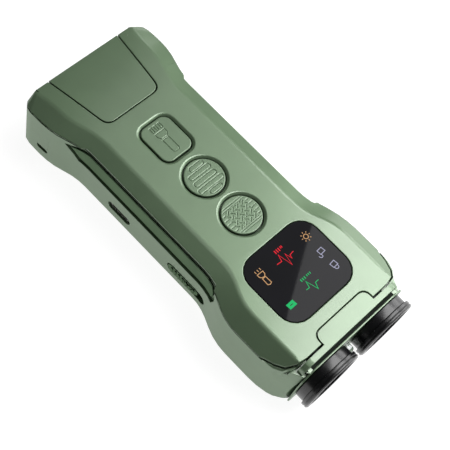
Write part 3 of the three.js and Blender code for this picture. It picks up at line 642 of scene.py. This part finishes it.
def weave_relief(x, y):
    """A basket weave of short dashes, with upright border lines and straight grooves beyond it."""
    if abs(x) > 3.7:
        return -max(eased(abs(x) - line, 0.2) for line in (4.1, 4.85))
    pitch = 1.43
    if abs(y) > 4.3:
        return -eased((x + pitch / 2) % pitch - pitch / 2, 0.26)
    p, q = (x + y) / math.sqrt(2), (y - x) / math.sqrt(2)
    deepest = 0.0
    for m in range(math.floor(p / pitch), math.floor(p / pitch) + 2):
        for n in range(math.floor(q / pitch), math.floor(q / pitch) + 2):
            cp, cq = m * pitch, n * pitch
            half = 0.5 * pitch
            along = (half, 0) if (m + n) % 2 == 0 else (0, half)
            ends = (cp - along[0], cq - along[1]), (cp + along[0], cq + along[1])
            deepest = max(deepest, eased(to_segment(p, q, *ends), 0.22))
    return -deepest


def round_outline(radius):
    turns = [2 * math.pi * i / CAP_SIDES for i in range(CAP_SIDES)]
    return [(radius * math.cos(a), radius * math.sin(a)) for a in turns]


def square_outline(half_x, half_y, corner):
    """A rounded rectangle. Each quarter runs from the middle of one side, round the corner, to the next."""
    quarter = CAP_SIDES // 4
    points = []
    for side in range(4):
        wide, tall = (half_x, half_y) if side % 2 == 0 else (half_y, half_x)
        for i in range(quarter):
            t = i / quarter
            if t < 0.3:
                x, y = wide, (tall - corner) * t / 0.3
            elif t < 0.7:
                turn = (t - 0.3) / 0.4 * math.pi / 2
                x, y = wide - corner * (1 - math.cos(turn)), tall - corner * (1 - math.sin(turn))
            else:
                x, y = (wide - corner) * (1 - t) / 0.3, tall
            points.append(((x, y), (-y, x), (-x, -y), (y, -x))[side])
    return points


def cap_mesh(node, outline_of, relief):
    """A push-button cap: a hollow skirt with a flange, and a crown with its mark pressed into it."""
    low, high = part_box(node)
    centre = ((low[0] + high[0]) / 2, (low[1] + high[1]) / 2)
    bottom, top = low[2], high[2]
    mesh = bmesh.new()

    def ring(inset, z, scale=1.0):
        return [
            mesh.verts.new((centre[0] + x * scale, centre[1] + y * scale, z)) for x, y in outline_of(inset)
        ]

    inner = CAP_FLANGE + CAP_SKIRT_WALL
    ceiling = bottom + CAP_HOLLOW_DEPTH
    flange_top = bottom + CAP_FLANGE_THICKNESS
    rings = [[mesh.verts.new((*centre, ceiling))]]
    rings += [ring(inner, ceiling), ring(inner, bottom), ring(0, bottom), ring(0, flange_top)]
    rings += [ring(CAP_FLANGE, flange_top)]
    for step in range(FILLET_STEPS + 1):
        turn = math.pi / 2 * step / FILLET_STEPS
        inset = CAP_FLANGE + CAP_RIM * (1 - math.cos(turn))
        rings.append(ring(inset, top - CAP_RIM + CAP_RIM * math.sin(turn)))
    for step in range(1, CAP_RINGS):
        scale = 1 - step / CAP_RINGS
        crown = ring(CAP_FLANGE + CAP_RIM, top, scale)
        for vertex in crown:
            x, y = (vertex.co.x - centre[0]) / MM, (vertex.co.y - centre[1]) / MM
            fade = min(1.0, (1 - scale) * 12)
            vertex.co.z += relief(x, y) * RELIEF_DEPTH * fade
        rings.append(crown)
    rings.append([mesh.verts.new((*centre, top))])
    skin(mesh, rings, False)
    return mesh


def round_cap(node, relief):
    low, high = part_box(node)
    radius = (high[0] - low[0]) / 2
    stand_in(cap_mesh(node, lambda inset: round_outline(radius - inset), relief), node)


def square_cap(node, relief):
    low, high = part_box(node)
    half_x, half_y = (high[0] - low[0]) / 2, (high[1] - low[1]) / 2
    corner = SQUARE_CORNER

    def outline_of(inset):
        return square_outline(half_x - inset, half_y - inset, corner - inset)

    stand_in(cap_mesh(node, outline_of, relief), node)


# ---------------------------------------------------------------- display symbols

def ribbon(points, closed=False, width=None):
    """A flat line through points in millimetres, as a thin solid with mitred corners."""
    half = (width or SYMBOL_LINE) / 2
    symbol_top = SYMBOL_Z + SYMBOL_THICKNESS
    at = [Vector(point) * MM for point in points]
    count = len(at)
    mesh = bmesh.new()
    rows = []
    for i, here in enumerate(at):
        before = at[i - 1] if closed or i else here
        after = at[(i + 1) % count] if closed or i < count - 1 else here
        first = (here - before).normalized() if before is not here else (after - here).normalized()
        second = (after - here).normalized() if after is not here else first
        bisector = (first + second).normalized()
        across = Vector((-bisector.y, bisector.x))
        lean = max(MITRE_LIMIT, abs(across.dot(Vector((-first.y, first.x)))))
        offset = across * half / lean
        section = ((1, SYMBOL_Z), (-1, SYMBOL_Z), (-1, symbol_top), (1, symbol_top))
        rows.append([mesh.verts.new((*(here + offset * side), z)) for side, z in section])
    skin(mesh, rows, closed)
    if not closed:
        mesh.faces.new(rows[0])
        mesh.faces.new(rows[-1][::-1])
    return mesh


def circle(x, y, radius, steps=24):
    turns = [2 * math.pi * i / steps for i in range(steps)]
    return [(x + radius * math.cos(a), y + radius * math.sin(a)) for a in turns]


def arc(x, y, radius, start, end, steps=8):
    turns = [math.radians(start + (end - start) * i / steps) for i in range(steps + 1)]
    return [(x + radius * math.cos(a), y + radius * math.sin(a)) for a in turns]


def symbol(name, material, strokes):
    """One lit symbol, of lines given as (points, closed, width) or as open points."""
    for i, stroke in enumerate(strokes):
        points, closed, width = stroke if isinstance(stroke, tuple) else (stroke, False, SYMBOL_LINE)
        piece_from(ribbon(points, closed, width), f"{name}_{i + 1}", "housing", "display_light", material)


def nose_shade_strip():
    """A dark strip on the floor of the groove between the ridge and the lip of the nose, as painted shade.
    """
    mesh = bmesh.new()
    bmesh.ops.create_cube(mesh, size=1)
    for vertex in mesh.verts:
        vertex.co = NOSE_SHADE_STRIP_MIDDLE + vertex.co * NOSE_SHADE_STRIP_SIZE
    # Painted shade: dark rubber laid where the groove is only in shade.
    piece_from(mesh, "nose_shade_strip", "housing", "seal_rubber")


def bars(x0, x1, ys, thick):
    """Short level bars in place of a caption."""
    return [([(x0, y), (x1, y)], False, thick * MM) for y in ys]


def add_symbols():
    symbol("pulse_red", SYMBOL_RED, [
        [
            (28.1, -3.7), (28.3, -1.8), (26.1, -1.1), (31.1, 0),
            (27.2, 0.8), (29.6, 1.5), (28.4, 1.8), (28.2, 3.5),
        ],
        *bars(24.3, 25.5, (-1.2, -0.4, 0.4), 0.34), *bars(24.3, 25.1, (1.2, 1.7), 0.3),
    ])
    symbol("pulse_green", SYMBOL_GREEN, [
        [(39.8, -2.7), (39.9, -1.4), (37.8, -0.8), (41.9, 0.5), (39.9, 1.3), (39.9, 2.7)],
        *bars(36.2, 37.1, (-1.7, -0.9, -0.1), 0.34), *bars(36.2, 36.9, (0.9, 1.6, 2.3), 0.3),
    ])
    symbol("torch_amber", SYMBOL_AMBER, [
        (
            [(26.6, -10.9), (26.7, -8.6), (27.7, -8.7), (28.4, -9.4), (28.1, -10.4), (27.6, -10.9)],
            True, SYMBOL_LINE,
        ),
        ([(28.5, -10.5), (30.9, -10.6), (31.3, -9.9), (31.0, -9.1), (28.5, -9.2)], True, SYMBOL_LINE),
        *[[(25.3, y), (26.1, y)] for y in (-10.8, -9.8, -8.8)],
    ])
    symbol("sun_amber", SYMBOL_AMBER, [
        (circle(27.3, 10.2, 0.8), True, SYMBOL_LINE),
        *[[(27.3 + r * math.cos(a), 10.2 + r * math.sin(a)) for r in (1.3, 1.75)]
          for a in (math.pi / 4 * i for i in range(8))],
    ])
    symbol("battery_green", SYMBOL_GREEN, [
        ([(39.6, -10.7), (39.6, -8.7), (40.7, -8.6), (40.7, -10.6)], True, 0.85 * MM),
    ])
    symbol("padlock_open", SYMBOL_WHITE, [
        ([(33.0, 9.3), (32.9, 11.2), (34.5, 11.4), (34.6, 9.4)], True, SYMBOL_LINE),
        [(34.6, 9.6), *arc(35.0, 9.1, 0.55, 60, -70), (34.7, 8.4)],
    ])
    symbol("padlock_closed", SYMBOL_WHITE, [
        ([(38.7, 9.2), (38.5, 11.1), (40.2, 11.3), (40.3, 9.4)], True, SYMBOL_LINE),
        [(40.3, 9.6), *arc(40.6, 10.3, 0.7, -70, 70), (40.2, 11.0)],
    ])


# ---------------------------------------------------------------- scene

def add_light(name, place, aim, size, power, colour=(1, 1, 1), spin=0.0):
    data = bpy.data.lights.new(name, "AREA")
    data.shape = "RECTANGLE"
    data.size, data.size_y = size
    data.energy = power
    data.color = colour
    light = bpy.data.objects.new(name, data)
    light.location = Vector(place)
    toward = Vector(aim) - light.location
    light.rotation_mode = "QUATERNION"
    light.rotation_quaternion = toward.to_track_quat("-Z", "Y") @ Quaternion((0, 0, 1), math.radians(spin))
    bpy.context.scene.collection.objects.link(light)


def add_lights():
    # A softbox over the lamps' far side: its straight edge is what splits the display window diagonally.
    add_light("key", (0.192, 0.326, 0.425), (0.192, 0.326, 0.0), (0.5, 0.5), 4.25, spin=30)
    add_light("key_wing", (-0.111, 0.151, 0.425), (-0.111, 0.151, 0.0), (0.2, 0.5), 0.2, spin=30)
    add_light("far_side", (0.24, 0.5, 0.17), (0.24, 0.0, 0.17), (0.58, 0.3), 1.8)
    add_light("far_tail", (-0.31, 0.5, 0.17), (-0.31, 0.0, 0.17), (0.06, 0.3), 0.14)
    world = bpy.data.worlds.new("studio")
    world.use_nodes = True
    background = world.node_tree.nodes["Background"]
    background.inputs["Color"].default_value = (0.9, 0.95, 0.9, 1)
    background.inputs["Strength"].default_value = 0.04
    bpy.context.scene.world = world


def add_floor():
    mesh = bmesh.new()
    bmesh.ops.create_grid(mesh, x_segments=1, y_segments=1, size=FLOOR_HALF)
    data = bpy.data.meshes.new("floor")
    mesh.to_mesh(data)
    mesh.free()
    shader = Shader("floor_white")
    shader.feed(shader.mixed(shader.noise(3, 2.0), (0.24, 0.24, 0.24), (0.26, 0.26, 0.26)), "Base Color")
    shader.set(roughness=0.8, emission_color=(1, 1, 1, 1), emission_strength=FLOOR_GLOW)
    data.materials.append(shader.material)
    floor = bpy.data.objects.new("floor", data)
    floor.location.z = -FLOOR_DROP
    bpy.context.scene.collection.objects.link(floor)


add_camera()
for node in frame["nodes"]:
    if node in LATHED:
        LATHED[node](node)
    elif node not in CAPS:
        dress(node, ROUNDINGS.get(node, 0.0))
square_cap("torch_button_cap", torch_relief)
round_cap("stripe_button_cap", stripe_relief)
round_cap("weave_button_cap", weave_relief)
nose_shade_strip()
add_symbols()
add_floor()
add_lights()
bpy.context.scene.view_settings.view_transform = "Standard"
